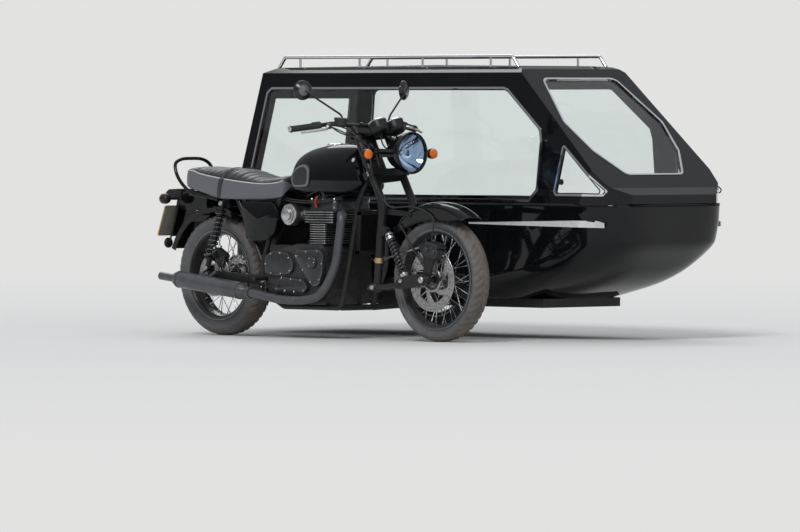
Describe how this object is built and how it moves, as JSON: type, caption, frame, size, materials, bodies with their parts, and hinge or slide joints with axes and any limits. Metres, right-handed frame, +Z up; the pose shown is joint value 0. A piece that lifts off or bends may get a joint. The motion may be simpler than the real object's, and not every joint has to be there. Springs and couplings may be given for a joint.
{
  "type": "sidecar motorcycle",
  "caption": "Black twin-cylinder roadster with leading-link forks and a long glazed box sidecar with roof rails, raked windscreen and top-hinged tailgate.",
  "frame": {"origin": "ground level below the middle of the outfit's length and width", "axes": "+X forward, +Y to the left, towards the sidecar, +Z up"},
  "size_m": [2.793, 1.8072, 1.441],
  "materials": {
    "gloss_black": "gloss",
    "satin_black": "satin",
    "exhaust_black": "matte",
    "engine_grey": "satin",
    "tyre": "matte",
    "wheel_black": "satin",
    "steel": "brushed",
    "alloy": "satin",
    "chrome": "polished",
    "glass": "clear",
    "lamp_glass": "clear",
    "rubber": "matte",
    "seat_vinyl": "satin",
    "amber": "gloss",
    "red": "gloss",
    "plate_yellow": "satin",
    "deck_wood": "varnished"
  },
  "bodies": {
    "outfit": {"main_frame": "satin_black", "swingarm": "satin_black", "rear_shocks": "satin_black", "rear_mudguard": "gloss_black", "grab_rail": "satin_black", "tail_lamps": "red", "number_plate": "plate_yellow", "seat": "seat_vinyl", "fuel_tank": "gloss_black", "filler_cap": "chrome", "knee_pads": "rubber", "side_panels": "gloss_black", "airbox": "satin_black", "crankcase": "engine_grey", "cylinder_block": "engine_grey", "engine_covers": "engine_grey", "throttle_bodies": "alloy", "radiator": "satin_black", "exhausts": "exhaust_black", "footrests": "satin_black", "drive_chain": "steel", "rear_caliper": "alloy", "sidecar_chassis": "satin_black", "sidecar_struts": "satin_black", "sidecar_tub": "gloss_black", "wheel_house": "satin_black", "sidecar_deck": "deck_wood", "canopy": "gloss_black", "sidecar_glass": "glass", "bright_trims": "chrome", "roof_rails": "chrome", "sidecar_lamps": "red"},
    "front_fork": {"yokes": "satin_black", "fork_legs": "satin_black", "leading_arm": "satin_black", "front_shocks": "satin_black", "front_mudguard": "gloss_black", "front_caliper": "alloy", "handlebar": "satin_black", "hand_controls": "rubber", "mirrors": "satin_black", "instruments": "satin_black", "headlight_shell": "gloss_black", "headlight_lens": "lamp_glass", "front_indicators": "amber"},
    "front_roller": {"front_tyre": "tyre", "front_wheel": "wheel_black", "front_disc": "steel"},
    "rear_roller": {"rear_tyre": "tyre", "rear_wheel": "wheel_black", "rear_disc": "steel"},
    "sidecar_roller": {"sidecar_tyre": "tyre", "sidecar_wheel": "wheel_black"},
    "gate": {"tailgate": "gloss_black", "tailgate_glass": "glass"}
  },
  "joints": [
    {"name": "steering", "type": "hinge", "parent": "outfit", "child": "front_fork", "pos_m": [0.1265, -0.45865, 1.03], "axis": [-0.4772, 0, 0.8788], "range_deg": [-30, 30]},
    {"name": "front_wheel_spin", "type": "hinge", "parent": "front_fork", "child": "front_roller", "pos_m": [0.6665, -0.45865, 0.312], "axis": [0, 1, 0], "continuous": true},
    {"name": "rear_wheel_spin", "type": "hinge", "parent": "outfit", "child": "rear_roller", "pos_m": [-0.9335, -0.45865, 0.312], "axis": [0, 1, 0], "continuous": true},
    {"name": "sidecar_wheel_spin", "type": "hinge", "parent": "outfit", "child": "sidecar_roller", "pos_m": [-0.6835, 0.83135, 0.3], "axis": [0, 1, 0], "continuous": true},
    {"name": "tailgate_hinge", "type": "hinge", "parent": "outfit", "child": "gate", "pos_m": [-1.2807, 0.46135, 1.27167], "axis": [0, 1, 0], "range_deg": [0, 75]}
  ]
}
